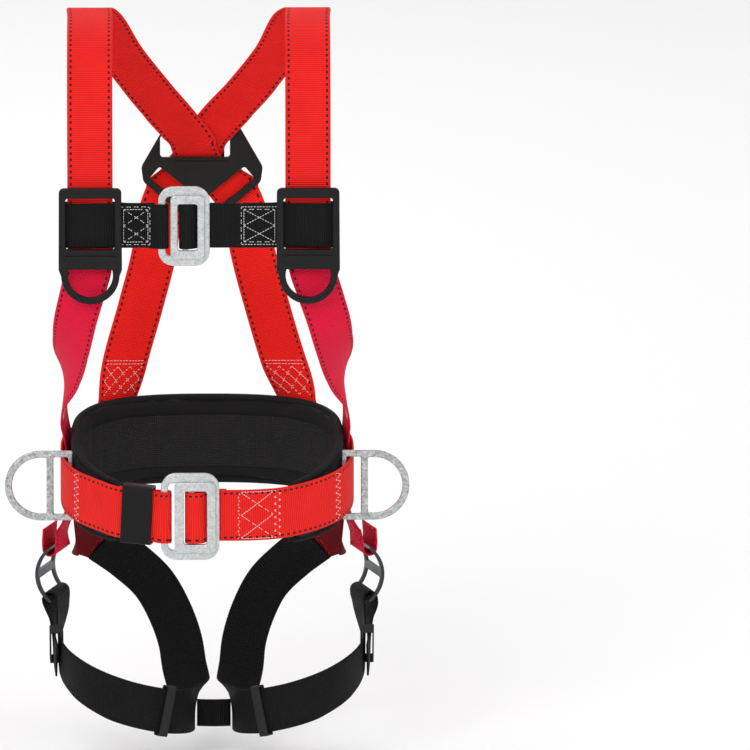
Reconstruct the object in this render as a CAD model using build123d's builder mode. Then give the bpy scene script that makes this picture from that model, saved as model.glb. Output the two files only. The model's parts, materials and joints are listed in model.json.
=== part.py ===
"""Full-body safety harness with a work-positioning belt, in the shape it has when it is worn.

Millimetres. +Z is up, the wearer faces -Y, and the origin is the centre of the waist belt ring.
Names end in _r and _l for the wearer's right (-X) and left (+X).
"""

from build123d import *
import math
import os

os.makedirs("parts", exist_ok=True)

# ---------------------------------------------------------------- driving dimensions
WEB = 2.4  # thickness of one layer of webbing
STRAP_WIDTH = 45.0  # shoulder, chest, back and leg webbing
BELT_WIDTH = 52.0  # waist belt webbing
STATION_STEP = 18.0  # longest distance between two sections of a strap

SIDES = {"r": -1, "l": 1}
LEAN_TOP = 290.0  # height above which the harness no longer leans
LEAN = 0.026  # sideways lean of the centreline, mm per mm of height
WAIST_X = 3.0

# Waist rings, one outside the other: pad, gap for straps and ring bars, belt.
PAD_HALF_WIDTH = 137.6
PAD_HALF_DEPTH = 109.8
PAD_THICKNESS = 11.0
BELT_GAP = 7.0
RING_POWER = 2.5

# Chest webbing planes, counted along Y from the wearer outwards.
CHEST_HEIGHT = 286.5
CHEST_Y = -111.2
SHOULDER_Y = -108.0
LAP_Y = -104.9
CHEST_REAR_Y = -101.0
CHEST_HALF = 108.0  # distance from the centreline to a shoulder strap

# Buckles: (X, Z) of each middle, and (width, height) of frame, link and the link's window
WAIST_BUCKLE_Y = -118.0
WAIST_BUCKLE = (-14.0, -6.6)
WAIST_FRAME = (58.0, 88.0)
WAIST_LINK = (-9.0, -7.3)
WAIST_LINK_SIZE = (41.0, 72.0)
WAIST_WINDOW = (23.0, 54.0)
CHEST_BUCKLE = (-19.5, CHEST_HEIGHT)
CHEST_FRAME = (51.0, 80.0)
CHEST_LINK = (-16.0, 286.0)
CHEST_LINK_SIZE = (34.0, 64.0)
CHEST_WINDOW = (19.5, 47.0)

# Dorsal plate and its ring
DORSAL_X = -1.5
PLATE_Y = 102.0
PLATE_THICKNESS = 4.0
DORSAL_BAR = (DORSAL_X, 119.2, 299.0)

# Side rings
SIDE_RING_ANGLE = 74.0  # degrees round the waist where the ring's hinge bar stands
SIDE_RING_REACH = 202.0  # from the waist centre to the outside of the D
SIDE_RING_HEIGHT = 7.5

UP = Vector(0, 0, 1)


def centre_x(height):
    """X of the harness centreline at a height: the worn harness leans a little to one side."""
    return WAIST_X - LEAN * min(height, LEAN_TOP)


def save(part, name):
    part.label = name
    export_step(part, f"parts/{name}.step")


def smooth(route):
    """A smooth list of (point, direction, width direction) through the route's own points."""
    points = [Vector(*point) for point, _ in route]
    across = [Vector(*width) for _, width in route]
    spans = [(b - a).length for a, b in zip(points, points[1:])]
    slopes = [(b - a) * (1 / span) for a, b, span in zip(points, points[1:], spans)]
    tangents = [slopes[0]]
    for i in range(1, len(points) - 1):
        mixed = slopes[i - 1] * spans[i] + slopes[i] * spans[i - 1]
        tangents.append(mixed * (1 / (spans[i - 1] + spans[i])))
    tangents.append(slopes[-1])
    stations = []
    for i, span in enumerate(spans):
        steps = max(1, round(span / STATION_STEP))
        for k in range(steps + (i == len(spans) - 1)):
            u = k / steps
            point = (
                points[i] * (2 * u**3 - 3 * u**2 + 1)
                + tangents[i] * (span * (u**3 - 2 * u**2 + u))
                + points[i + 1] * (3 * u**2 - 2 * u**3)
                + tangents[i + 1] * (span * (u**3 - u**2))
            )
            speed = (
                (points[i + 1] - points[i]) * ((6 * u - 6 * u**2) / span)
                + tangents[i] * (3 * u**2 - 4 * u + 1)
                + tangents[i + 1] * (3 * u**2 - 2 * u)
            )
            width = across[i] * (1 - u) + across[i + 1] * u
            stations.append((point, speed.normalized(), width.normalized()))
    return stations


def squared(stations):
    """The same stations with each width direction at a right angle to the strap."""
    return [(p, d, (w - d * w.dot(d)).normalized()) for p, d, w in stations]


def ribbon(name, stations, width, thickness=WEB):
    """A strap: flat sections at the stations, as wide as webbing that is cut at that slant."""
    with BuildPart() as strap:
        for point, direction, across in stations:
            ahead = direction - across * direction.dot(across)
            with BuildSketch(Plane(origin=point, x_dir=across, z_dir=ahead)):
                Rectangle(width / ahead.length, thickness)
        loft(ruled=True)
    save(strap.part, name)


def nearest(stations, point):
    """The station closest to a point."""
    return min(stations, key=lambda station: (station[0] - Vector(*point)).length)


def level(points, height):
    """A route at one height whose webbing stands upright."""
    return [((x, y, height), (0, 0, 1)) for x, y in points]


def mirrored(side, points):
    """Route points given as distance from the centreline, for one side of the harness."""
    return [
        ((centre_x(z) + side * x, y, z), (-side * wx, wy, wz))
        for (x, y, z), (wx, wy, wz) in points
    ]


def bend(centre, u_axis, v_axis, radius, start, stop, across, count=9):
    """Route points round a bar, from one angle to another in degrees."""
    centre, u_axis, v_axis = Vector(*centre), Vector(*u_axis), Vector(*v_axis)
    turns = [math.radians(start + (stop - start) * k / (count - 1)) for k in range(count)]
    places = [centre + u_axis * (radius * math.cos(a)) + v_axis * (radius * math.sin(a)) for a in turns]
    return [(tuple(place), across) for place in places]


def keeper(name, station, outward, length, room, wall=1.6):
    """A band round webbing at a station, moved outward to its middle; room is (width, depth)."""
    centre, along, across = station
    width, depth = room
    with BuildPart() as band:
        with BuildSketch(Plane(origin=centre + outward, x_dir=across, z_dir=along)):
            RectangleRounded(width + 2 * wall, depth + 2 * wall, 1.5)
            RectangleRounded(width, depth, 0.8, mode=Mode.SUBTRACT)
        extrude(amount=length / 2, both=True)
    save(band.part, name)


# ---------------------------------------------------------------- waist ring
def ring_point(angle, half_width, half_depth):
    """Point of a waist ring; 0 degrees is the front, 90 degrees the wearer's left."""
    sine, cosine = math.sin(math.radians(angle)), math.cos(math.radians(angle))
    x = math.copysign(abs(sine) ** (2 / RING_POWER), sine) * half_width
    y = -math.copysign(abs(cosine) ** (2 / RING_POWER), cosine) * half_depth
    return WAIST_X + x, y


def belt_height(y):
    """Height of the middle of the belt: low in front, high in the back."""
    front = -y / (PAD_HALF_DEPTH + BELT_GAP)
    return 13.0 - 16.0 * front - 3.0 * front**2


BELT_HALF_WIDTH = PAD_HALF_WIDTH + BELT_GAP + WEB / 2
BELT_HALF_DEPTH = PAD_HALF_DEPTH + BELT_GAP + WEB / 2


def beside_pad(angle, out):
    """Point that far outside the pad, and the level direction along the pad there."""
    x, y = ring_point(angle, PAD_HALF_WIDTH, PAD_HALF_DEPTH)
    ahead = Vector(*ring_point(angle + 0.5, PAD_HALF_WIDTH, PAD_HALF_DEPTH))
    behind = Vector(*ring_point(angle - 0.5, PAD_HALF_WIDTH, PAD_HALF_DEPTH))
    along = (ahead - behind).normalized()
    return Vector(x, y) + Vector(along.Y, -along.X) * out, along


PAD_ENDS = (33.0, 323.0)  # degrees round the waist where the two wings end
PAD_SECTIONS = 24


def lumbar_pad():
    with BuildPart() as pad:
        for k in range(PAD_SECTIONS + 1):
            angle = PAD_ENDS[0] + (PAD_ENDS[1] - PAD_ENDS[0]) * k / PAD_SECTIONS
            middle = PAD_HALF_WIDTH - PAD_THICKNESS / 2, PAD_HALF_DEPTH - PAD_THICKNESS / 2
            x, y = ring_point(angle, *middle)
            ahead = ring_point(angle + 1, *middle)
            behind = ring_point(angle - 1, *middle)
            direction = Vector(ahead[0] - behind[0], ahead[1] - behind[1], 0).normalized()
            front = -y / middle[1]
            top = 54.0 - 27.9 * front - 11.9 * front**2
            bottom = -29.0 - 11.0 * front - 3.0 * front**2
            origin = (x, y, (top + bottom) / 2)
            with BuildSketch(Plane(origin=origin, x_dir=(0, 0, 1), z_dir=direction)):
                Rectangle(top - bottom, PAD_THICKNESS)
        loft(ruled=True)
    save(pad.part, "lumbar_pad")


def belt_route(points):
    return [((x, y, belt_height(y)), (0, 0, 1)) for x, y in points]


# ---------------------------------------------------------------- two-piece buckles
FRAME_BAR = 7.0
FRAME_BACK = 1.6  # the frame's rear face stands this far in front of the webbing's middle
FRAME_THICKNESS = 3.2
LINK_BACK = 5.2
LINK_THICKNESS = 4.0


def buckle(name, middle, frame_size, link_middle, link_size, window_size, web_y):
    """A stamped frame and the flat link that lies on it, both facing forward."""
    frame_plane = Plane(
        origin=(middle[0], web_y - FRAME_BACK, middle[1]), x_dir=(1, 0, 0), z_dir=(0, -1, 0)
    )
    with BuildPart() as frame:
        with BuildSketch(frame_plane):
            RectangleRounded(*frame_size, 15)
            RectangleRounded(
                frame_size[0] - 2 * FRAME_BAR, frame_size[1] - 20, 5, mode=Mode.SUBTRACT
            )
        extrude(amount=FRAME_THICKNESS)
        fillet(frame.faces().sort_by(Axis.Y)[0].edges(), 1.0)
    save(frame.part, f"{name}_frame")

    link_x, link_z = link_middle
    window_left = link_x - window_size[0] / 2
    link_plane = Plane(origin=(link_x, web_y - LINK_BACK, link_z), x_dir=(1, 0, 0), z_dir=(0, -1, 0))
    bar_plane = Plane(
        origin=(window_left + 7.6, web_y - 4.0, link_z), x_dir=(1, 0, 0), z_dir=(0, -1, 0)
    )
    with BuildPart() as link:
        with BuildSketch(link_plane):
            RectangleRounded(*link_size, 5)
            RectangleRounded(*window_size, 2.5, mode=Mode.SUBTRACT)
        extrude(amount=LINK_THICKNESS)
        fillet(link.faces().sort_by(Axis.Y)[0].edges(), 1.2)
        with BuildSketch(bar_plane):
            Rectangle(6.0, window_size[1] + 4)
        extrude(amount=1.4)
    save(link.part, f"{name}_link")


def over_bar(bar_left, web_y, tail):
    """Route (x, y) over the frame's outer bar, round it and back to the tail's end."""
    bar_middle = web_y - FRAME_BACK - FRAME_THICKNESS / 2
    radius = FRAME_THICKNESS / 2 + 0.4 + WEB / 2
    turn_x = bar_left + FRAME_BAR - 0.6
    turns = [math.radians(a) for a in (-90, -45, 0, 45, 90)]
    rise = [(bar_left - 11, web_y), (bar_left - 4, web_y - 4.6), (bar_left + 1, bar_middle - radius)]
    round_bar = [(turn_x + radius * math.cos(a), bar_middle + radius * math.sin(a)) for a in turns]
    back = [(bar_left + 1, web_y + 0.6)]
    return rise + round_bar + back + tail


def round_link(frame_right, window_left, web_y):
    """Route (x, y) from behind the frame's inner bar, round the link's web bar and back."""
    offsets = [
        (frame_right + 10, 0.0),
        (frame_right + 0.5, 0.0),
        (frame_right - 3.0, -0.6),
        (frame_right - 11.0, -6.7),
        (window_left + 8.0, -7.6),
        (window_left + 3.2, -6.7),
        (window_left + 2.2, -5.0),
        (window_left + 3.4, -3.0),
        (window_left + 8.0, -2.2),
        (window_left + 12.0, -2.0),
        (frame_right - 3.5, 2.4),
        (frame_right + 1.0, 2.8),
        (frame_right + 14.0, 2.8),
    ]
    return [(x, web_y + y) for x, y in offsets]


# ---------------------------------------------------------------- rings
def d_outline(start, middle, radius):
    """A D: straight back at start, round end with its centre at middle."""
    with BuildSketch() as outline:
        with BuildLine():
            Polyline((middle, radius), (start, radius), (start, -radius), (middle, -radius))
            ThreePointArc((middle, -radius), (middle + radius, 0), (middle, radius))
        make_face()
        fillet(outline.vertices().group_by(Axis.X)[0], 2.0)
    return outline.sketch


def side_ring(tag, side):
    """Flat D with a slot for the belt; the bar between pad and belt is its hinge."""
    bar, _ = beside_pad(side * SIDE_RING_ANGLE, BELT_GAP / 2)
    plane = Plane(origin=(bar.X, bar.Y, SIDE_RING_HEIGHT), x_dir=(side, 0, 0), z_dir=(0, side, 0))
    reach = SIDE_RING_REACH - abs(bar.X - WAIST_X)
    outside = d_outline(-2.2, reach - 35.5, 35.5)
    hole = d_outline(23.8, reach - 35.5, 28.5)
    with BuildPart() as ring:
        with BuildSketch(plane):
            add(outside)
            add(hole, mode=Mode.SUBTRACT)
            with Locations((9.5, 0)):
                RectangleRounded(14.6, 58.0, 1.5, mode=Mode.SUBTRACT)
        extrude(amount=2.2, both=True)
        fillet(ring.faces().filter_by(Axis.Y).edges(), 1.3)
    save(ring.part, f"side_d_ring_{tag}")


def dorsal_ring():
    """D that hangs from its straight bar behind the shoulder blades."""
    outside = d_outline(-2.5, 20.0, 32.0)
    hole = d_outline(2.5, 20.0, 24.5)
    with BuildPart() as ring:
        with BuildSketch(Plane(origin=DORSAL_BAR, x_dir=(0, 0, -1), z_dir=(0, -1, 0))):
            add(outside)
            add(hole, mode=Mode.SUBTRACT)
        extrude(amount=2.5, both=True)
        fillet(ring.faces().filter_by(Axis.Y).edges(), 1.6)
    save(ring.part, "dorsal_d_ring")


# ---------------------------------------------------------------- plates
def chest_plate(tag, side):
    """Moulded plate round a shoulder strap, with a window above and a D loop below."""
    x = centre_x(CHEST_HEIGHT) + side * CHEST_HALF
    back = CHEST_Y - 1.8
    plane = Plane(origin=(x, back, 0), x_dir=(1, 0, 0), z_dir=(0, -1, 0))
    with BuildPart() as plate:
        with BuildSketch(plane):
            with BuildLine():
                Polyline((-31, 325), (31, 325), (31.5, 243), (29, 236), (-29, 236), (-31.5, 243), (-31, 325))
            make_face()
            with Locations((0, 237)):
                Circle(29)
            with Locations((0, 289)):
                RectangleRounded(49, 52, 3, mode=Mode.SUBTRACT)
            with BuildSketch(mode=Mode.SUBTRACT):
                with Locations((0, 237)):
                    Circle(22.3)
                with Locations((0, 268)):
                    Rectangle(60, 50, mode=Mode.SUBTRACT)
        extrude(amount=4.5)
        corners = plate.edges().filter_by(Axis.Y).group_by(Axis.Z)[-1]
        fillet(corners, 5)
        fillet(plate.faces().sort_by(Axis.Y)[0].edges(), 1.2)
        with BuildSketch(plane.offset(4.4)):
            with Locations((0, 254)):
                RectangleRounded(50, 6, 2.5)
        extrude(amount=1.6)
    save(plate.part, f"chest_plate_{tag}")


def dorsal_plate():
    """Plate between the shoulder blades with one wide slot and two slanted ones."""
    plane = Plane(origin=(DORSAL_X, PLATE_Y + PLATE_THICKNESS, 0), x_dir=(1, 0, 0), z_dir=(0, -1, 0))
    with BuildPart() as plate:
        with BuildSketch(plane) as outline:
            with BuildLine():
                Polyline(
                    (-36, 347), (36, 347), (61, 303), (59, 288), (12, 247), (-12, 247), (-59, 288), (-61, 303),
                    (-36, 347),
                )
            make_face()
            fillet(outline.vertices(), 9)
            with Locations((-7.0, 324.0)):
                RectangleRounded(70, 22, 3, mode=Mode.SUBTRACT)
            for turn in (-1, 1):
                with Locations(Location((turn * 28.0, 281.5, 0), (0, 0, turn * 39.0))):
                    RectangleRounded(51, 16, 2.5, mode=Mode.SUBTRACT)
        extrude(amount=PLATE_THICKNESS)
        with BuildSketch(plane.offset(PLATE_THICKNESS - 0.1)):
            with BuildLine():
                Polyline((-27, 309), (27, 309), (3, 272), (-3, 272), (-27, 309))
            make_face()
        extrude(amount=1.6)
    save(plate.part, "dorsal_plate")


LEG_BUCKLE = (153.0, 15.0, -91.0)  # distance from the centreline, Y, height
LEG_TURN = math.radians(17.0)  # the hip webbing is turned this far to the rear
LEG_BAR = (1.3, 25.3)  # outwards from the buckle's middle, and up or down from it
LEG_BEND = 6.6  # radius of the webbing's middle round a bar


def leg_frame(side):
    """Middle of a leg buckle, the way outwards from the hip and the width of its webbing."""
    x = centre_x(LEG_BUCKLE[2]) + side * LEG_BUCKLE[0]
    outward = Vector(side * math.cos(LEG_TURN), math.sin(LEG_TURN), 0)
    across = Vector(-side * math.sin(LEG_TURN), math.cos(LEG_TURN), 0)
    return Vector(x, LEG_BUCKLE[1], LEG_BUCKLE[2]), outward, across


def leg_buckle(tag, side):
    """Bowed plate with three bars: the hip webbing above, the leg webbing below."""
    middle, outward, across = leg_frame(side)
    bow = Plane(origin=middle, x_dir=outward, z_dir=outward.cross(UP))
    windows = Plane(origin=middle, x_dir=across, z_dir=outward)
    with BuildPart() as frame:
        with BuildSketch(bow):
            with BuildLine():
                ThreePointArc((-3, 27), (11, 0), (-3, -27))
                Line((-3, -27), (0, -28))
                ThreePointArc((0, -28), (14.5, 0), (0, 28))
                Line((0, 28), (-3, 27))
            make_face()
        extrude(amount=28, both=True)
        with BuildSketch(windows):
            with Locations((0, 13.5), (0, -13.5)):
                RectangleRounded(48, 19, 2)
        extrude(amount=40, both=True, mode=Mode.SUBTRACT)
    save(frame.part, f"leg_buckle_{tag}")


# ---------------------------------------------------------------- strap routes
def shoulder_straps():
    """Up the chest, over the shoulder and down to the dorsal plate's slot, where the two cross."""
    flat = (1, 0, 0)
    top = centre_x(LEAN_TOP)
    front = [(SHOULDER_Y, 246), (SHOULDER_Y, 290), (SHOULDER_Y, 335), (SHOULDER_Y, 380)]
    crest = [(-99, 424), (-70, 463), (-30, 482), (2, 484)]
    back_right = [(-103, 26, 470), (-83, 54, 430), (-57, 74, 391), (-33, 87, 359), (-16.5, 95.5, 337)]
    back_right += [(-12, 98.5, 330), (-8.5, 103.5, 320), (-6, 107.4, 313), (-4.5, 108.4, 309)]
    back_left = [(92, 27, 470), (74, 56, 430), (48, 77, 391), (22, 90.5, 359), (5, 98.5, 337)]
    back_left += [(0.5, 101.6, 330), (-4, 106.6, 320), (-8, 110.5, 313), (-10.5, 111.6, 309)]
    for tag, back in (("r", back_right), ("l", back_left)):
        x = top + SIDES[tag] * CHEST_HALF
        route = [((x, y, z), flat) for y, z in front + crest] + [(point, flat) for point in back]
        ribbon(f"shoulder_strap_{tag}", smooth(route), STRAP_WIDTH)


def back_straps():
    """From the crossing behind the dorsal plate, outwards and down to the belt."""
    left = [(-4.2, 108.4, 308.6), (7, 108.4, 298), (26, 108.4, 281), (38, 108, 262), (44.5, 107, 240)]
    left += [(49, 105.5, 217), (63.5, 103, 161), (80, 100.5, 105)]
    right = [(-10.8, 111.6, 308.6), (-17, 111.6, 298), (-31, 111.4, 281), (-40.5, 110.4, 262)]
    right += [(-46, 108.4, 240), (-49.5, 106, 217), (-63.5, 103, 161), (-79, 100.5, 105)]
    for tag, upper in (("l", left), ("r", right)):
        side = SIDES[tag]
        foot, along = beside_pad(side * 140.0, 1.8)
        bowed = tuple(along * -1)
        route = [(point, (1, 0, 0)) for point in upper]
        route += [
            ((foot.X - side * 8, foot.Y + 5.0, 68), bowed),
            ((foot.X - side * 1.5, foot.Y + 0.6, 38), bowed),
            ((foot.X, foot.Y, 2), bowed),
        ]
        ribbon(f"back_strap_{tag}", smooth(route), STRAP_WIDTH)


def side_straps():
    """From a lap behind the chest plate, back round the ribs, under the belt to the leg buckle."""
    ribs = [
        ((108, LAP_Y, 288), (-1, 0, 0)),
        ((108.1, LAP_Y, 266), (-1, 0, 0)),
        ((109.5, LAP_Y, 246), (-1, 0, 0)),
        ((116.3, -103.5, 222), (-1, 0.2, 0)),
        ((126.2, -94, 186), (-0.9, 0.45, 0)),
        ((131.8, -72, 156), (-0.7, 0.7, 0)),
        ((136.0, -42, 128), (-0.45, 0.9, 0)),
        ((139.4, -8, 98), (0, 1, 0)),
        ((141.4, 16, 66), (0.12, 1, 0)),
    ]
    hip = [((142.2, 21.5, -42), (0.2, 1, 0)), ((146.5, 18.0, -54), (0.27, 1, 0))]
    for tag, side in SIDES.items():
        middle, outward, across = leg_frame(side)
        waist, along = beside_pad(side * 98.6, 1.9)
        level_width = tuple(along * side)
        bar = middle + outward * LEG_BAR[0] + UP * LEG_BAR[1]
        route = mirrored(side, ribs)
        route += [((waist.X, waist.Y, z), level_width) for z in (32, 6, -22)]
        route += mirrored(side, hip) + bend(bar, outward, UP, LEG_BEND, 180, 360, tuple(across))
        route.append((tuple(bar + outward * (LEG_BEND - 0.4) + UP * 20), tuple(across)))
        ribbon(f"side_strap_{tag}", squared(smooth(route)), STRAP_WIDTH)


def leg_straps():
    """Tail, over the buckle's lower bar, round the thigh, between the legs and up to the hip."""
    upright = (0, 0, 1)
    tail = [
        ((155.6, -30, -174.5), (0, -0.35, 0.94)),
        ((158.2, -12, -163), (0, -0.6, 0.8)),
        ((159.5, 4, -146), (-0.1, -0.9, 0.4)),
        ((160.8, 14, -128), (-0.29, -0.956, 0)),
    ]
    thigh = [
        ((149.4, 13, -129), (-0.29, -0.956, 0)),
        ((152.5, 4, -145), (-0.1, -0.9, 0.4)),
        ((153.2, -10, -160), (0, -0.6, 0.8)),
        ((151.2, -27, -171.5), (0, -0.35, 0.94)),
        ((134.8, -58, -186), (0, -0.15, 1)),
        ((98.3, -80, -202), upright),
        ((48.2, -70, -217), upright),
        ((28, -46, -223), upright),
        ((19.5, -14, -227), upright),
        ((19.5, 12, -226), (0.35, 0, 0.94)),
        ((23.5, 33, -216), (0.85, 0, 0.5)),
        ((28.5, 50, -199), (1, 0, 0.12)),
        ((32, 62, -176), (0.94, 0, 0.33)),
        ((42.3, 75, -147), (0.91, 0, 0.41)),
        ((56.6, 80, -121), (0.79, 0, 0.62)),
        ((82.4, 74, -94), (0.64, 0, 0.77)),
        ((107, 58, -72), (0.56, 0, 0.82)),
    ]
    hip = [((128, 43.5, -60), (0.5, 0.2, 0.82)), ((133.5, 28, -57), (0.1, 0.7, 0.7))]
    for tag, side in SIDES.items():
        middle, outward, across = leg_frame(side)
        bar = middle + outward * LEG_BAR[0] - UP * LEG_BAR[1]
        over = bend(bar, outward, UP, LEG_BEND, 0, 180, tuple(across * -1))
        stations = squared(smooth(mirrored(side, tail) + over + mirrored(side, thigh)))
        ribbon(f"leg_strap_{tag}", stations, STRAP_WIDTH)
        behind = [
            (tuple(point - direction.cross(width) * (side * 3.2)), tuple(width))
            for point, direction, width in stations[-2:]
        ]
        ribbon(f"hip_tab_{tag}", squared(smooth(behind + mirrored(side, hip))), STRAP_WIDTH)
        leg_keepers(tag, side, stations)


def leg_keepers(tag, side, stations):
    """The two bands on a leg loop: at the hip round strap and tail, and near the crotch."""
    hip = nearest(stations, (centre_x(-160) + side * 153.2, -10, -160))
    tail = nearest(stations, (centre_x(-163) + side * 158.2, -12, -163))
    keeper(f"hip_keeper_{tag}", hip, (tail[0] - hip[0]) * 0.5, 10, (48, 10.5))
    crotch = nearest(stations, (centre_x(-217) + side * 48.2, -70, -217))
    keeper(f"crotch_keeper_{tag}", crotch, Vector(0, 0, 0), 10, (48, 6.5))


def seat_strap():
    """Short strap that joins the two leg loops behind the crotch."""
    height = -235.0
    middle = centre_x(height)
    reach = 16.8
    points = [(middle + x, -2 + 0.006 * x * x) for x in (-reach, -reach / 2, 0, reach / 2, reach)]
    ribbon("seat_strap", squared(smooth(level(points, height))), 28.0)


def chest_straps():
    """Loops round the shoulder straps, sewn back on themselves, and on to the chest buckle."""
    middle = centre_x(CHEST_HEIGHT)
    bar_left = CHEST_BUCKLE[0] - CHEST_FRAME[0] / 2
    frame_right = CHEST_BUCKLE[0] + CHEST_FRAME[0] / 2 - FRAME_BAR
    window_left = CHEST_LINK[0] - CHEST_WINDOW[0] / 2
    turn_y = (CHEST_Y + CHEST_REAR_Y) / 2
    radius = (CHEST_REAR_Y - CHEST_Y) / 2
    turns = [math.radians(a) for a in (90, 50, 0, -50, -90)]
    for tag, side in SIDES.items():
        loop = [(44, CHEST_Y + 2.8), (66, CHEST_Y + 2.8), (72, CHEST_Y + 3.2)]
        loop += [(84, CHEST_REAR_Y - 1.2), (91, CHEST_REAR_Y), (96, CHEST_REAR_Y)]
        loop += [(131.2 + radius * math.cos(a), turn_y + radius * math.sin(a)) for a in turns]
        loop += [(100, CHEST_Y), (70, CHEST_Y)]
        points = [(middle + side * x, y) for x, y in loop]
        if tag == "r":
            points += over_bar(bar_left, CHEST_Y, [])
        else:
            points += round_link(frame_right, window_left, CHEST_Y)
        ribbon(f"chest_strap_{tag}", squared(smooth(level(points, CHEST_HEIGHT))), STRAP_WIDTH)


def belts():
    """The waist belt in two halves that meet at the back, each ending at the buckle."""
    bar_left = WAIST_BUCKLE[0] - WAIST_FRAME[0] / 2
    frame_right = WAIST_BUCKLE[0] + WAIST_FRAME[0] / 2 - FRAME_BAR
    window_left = WAIST_LINK[0] - WAIST_WINDOW[0] / 2
    turns = [-179.9, -165, -150, -135, -120, -105, -90, -75, -60, -46]
    right = [ring_point(a, BELT_HALF_WIDTH, BELT_HALF_DEPTH) for a in turns]
    left = [ring_point(-a, BELT_HALF_WIDTH, BELT_HALF_DEPTH) for a in turns]
    right += [(-82, -110.6), (-66, -114.0)] + over_bar(
        bar_left, WAIST_BUCKLE_Y, [(bar_left - 11, WAIST_BUCKLE_Y + 2.9), (-66, -111.2), (-84, -107.2)]
    )
    left += [(72, -113.4), (48, -117.2)] + round_link(frame_right, window_left, WAIST_BUCKLE_Y)
    right_stations = smooth(belt_route(right))
    ribbon("belt_r", right_stations, BELT_WIDTH)
    ribbon("belt_l", smooth(belt_route(left)), BELT_WIDTH)
    middle = nearest(right_stations, (-66, -114, -5))
    keeper("belt_keeper", middle, Vector(0, 1.4, 0), 31, (56, 10))


def dorsal_loop():
    """Short webbing loop that holds the dorsal ring's bar on the crossing straps."""
    x, y, z = DORSAL_BAR
    radius = 4.5
    flat = (1, 0, 0)
    route = [((x, y - radius, z + 32), flat), ((x, y - radius, z + 12), flat)]
    route += bend((x, y, z), (0, 1, 0), (0, 0, 1), radius, 180, 360, flat)
    route += [((x, y + 2.4, z + 12), flat), ((x, y - 0.9, z + 20), flat), ((x, y - 1.3, z + 31), flat)]
    ribbon("dorsal_loop", smooth(route), STRAP_WIDTH)


shoulder_straps()
back_straps()
side_straps()
leg_straps()
seat_strap()
chest_straps()
belts()
lumbar_pad()
dorsal_loop()
dorsal_plate()
dorsal_ring()
buckle("chest_buckle", CHEST_BUCKLE, CHEST_FRAME, CHEST_LINK, CHEST_LINK_SIZE, CHEST_WINDOW, CHEST_Y)
buckle(
    "waist_buckle", WAIST_BUCKLE, WAIST_FRAME, WAIST_LINK, WAIST_LINK_SIZE, WAIST_WINDOW, WAIST_BUCKLE_Y
)
for name, sign in SIDES.items():
    chest_plate(name, sign)
    side_ring(name, sign)
    leg_buckle(name, sign)
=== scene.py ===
# %% [markdown]
# # A full-body safety harness
#
# The harness stands in the shape it has on a wearer: two red shoulder straps cross behind a
# plate between the shoulder blades, run down to a padded waist belt, and black leg loops hang
# below it. The design program made every part at its true size. Those parts could be dressed in
# new materials as they are, which suits the hard ones. The soft ones are woven anew over them,
# because webbing needs a UV map that runs along each strap.

# %% Load the frame
import json
import math

import bmesh
import bpy
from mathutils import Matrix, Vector
from mathutils.bvhtree import BVHTree


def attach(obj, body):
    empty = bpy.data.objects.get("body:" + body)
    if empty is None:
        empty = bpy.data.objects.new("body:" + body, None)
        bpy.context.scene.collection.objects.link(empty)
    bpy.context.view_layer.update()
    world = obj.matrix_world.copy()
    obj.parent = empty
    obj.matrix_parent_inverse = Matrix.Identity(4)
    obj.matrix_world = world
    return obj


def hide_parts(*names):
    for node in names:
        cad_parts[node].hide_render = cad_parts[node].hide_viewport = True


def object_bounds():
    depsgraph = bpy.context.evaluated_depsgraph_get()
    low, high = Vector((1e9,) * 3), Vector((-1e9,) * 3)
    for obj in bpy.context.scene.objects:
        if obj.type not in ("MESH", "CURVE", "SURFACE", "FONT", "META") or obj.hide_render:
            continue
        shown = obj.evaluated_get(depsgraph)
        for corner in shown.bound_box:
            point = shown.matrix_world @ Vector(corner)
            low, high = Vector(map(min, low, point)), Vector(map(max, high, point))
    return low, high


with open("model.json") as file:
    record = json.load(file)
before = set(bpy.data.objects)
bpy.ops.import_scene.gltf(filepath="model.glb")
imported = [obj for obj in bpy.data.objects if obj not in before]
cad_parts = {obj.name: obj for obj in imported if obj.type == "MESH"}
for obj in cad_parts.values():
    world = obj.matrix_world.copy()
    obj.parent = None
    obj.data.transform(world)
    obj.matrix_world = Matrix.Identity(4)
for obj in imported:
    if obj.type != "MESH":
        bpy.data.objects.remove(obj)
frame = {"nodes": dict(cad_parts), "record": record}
cad_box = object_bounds()
nodes = frame["nodes"]
bodies = frame["record"]["behaviour"]["bodies"]
body_of = {node: body for body, held in bodies.items() for node in held}

# %% [markdown]
# ## Camera and light
#
# A small studio: a pale floor that curves up all round like a bowl, so no view has a hard
# horizon, a large soft lamp in front, and weaker ones beside and behind. A short lens close by
# would spread the near straps apart, so a very long lens stands sixteen metres away instead.

# %% A camera in front, a little above
DISTANCE = 16.0
TILT = math.radians(12)
AIM = Vector((0.171, 0.0, 0.111))

camera = bpy.data.objects.new("Camera", bpy.data.cameras.new("Camera"))
bpy.context.scene.collection.objects.link(camera)
camera.data.lens = 48.0 * DISTANCE
camera.data.sensor_width = 36.0
camera.location = (0.0, -DISTANCE * math.cos(TILT), AIM.z + DISTANCE * math.sin(TILT))
camera.rotation_mode = "QUATERNION"
camera.rotation_quaternion = (AIM - camera.location).to_track_quat("-Z", "Y")
bpy.context.scene.camera = camera
bpy.context.scene.view_settings.view_transform = "Standard"
print("camera at", [round(c, 2) for c in camera.location])


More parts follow.
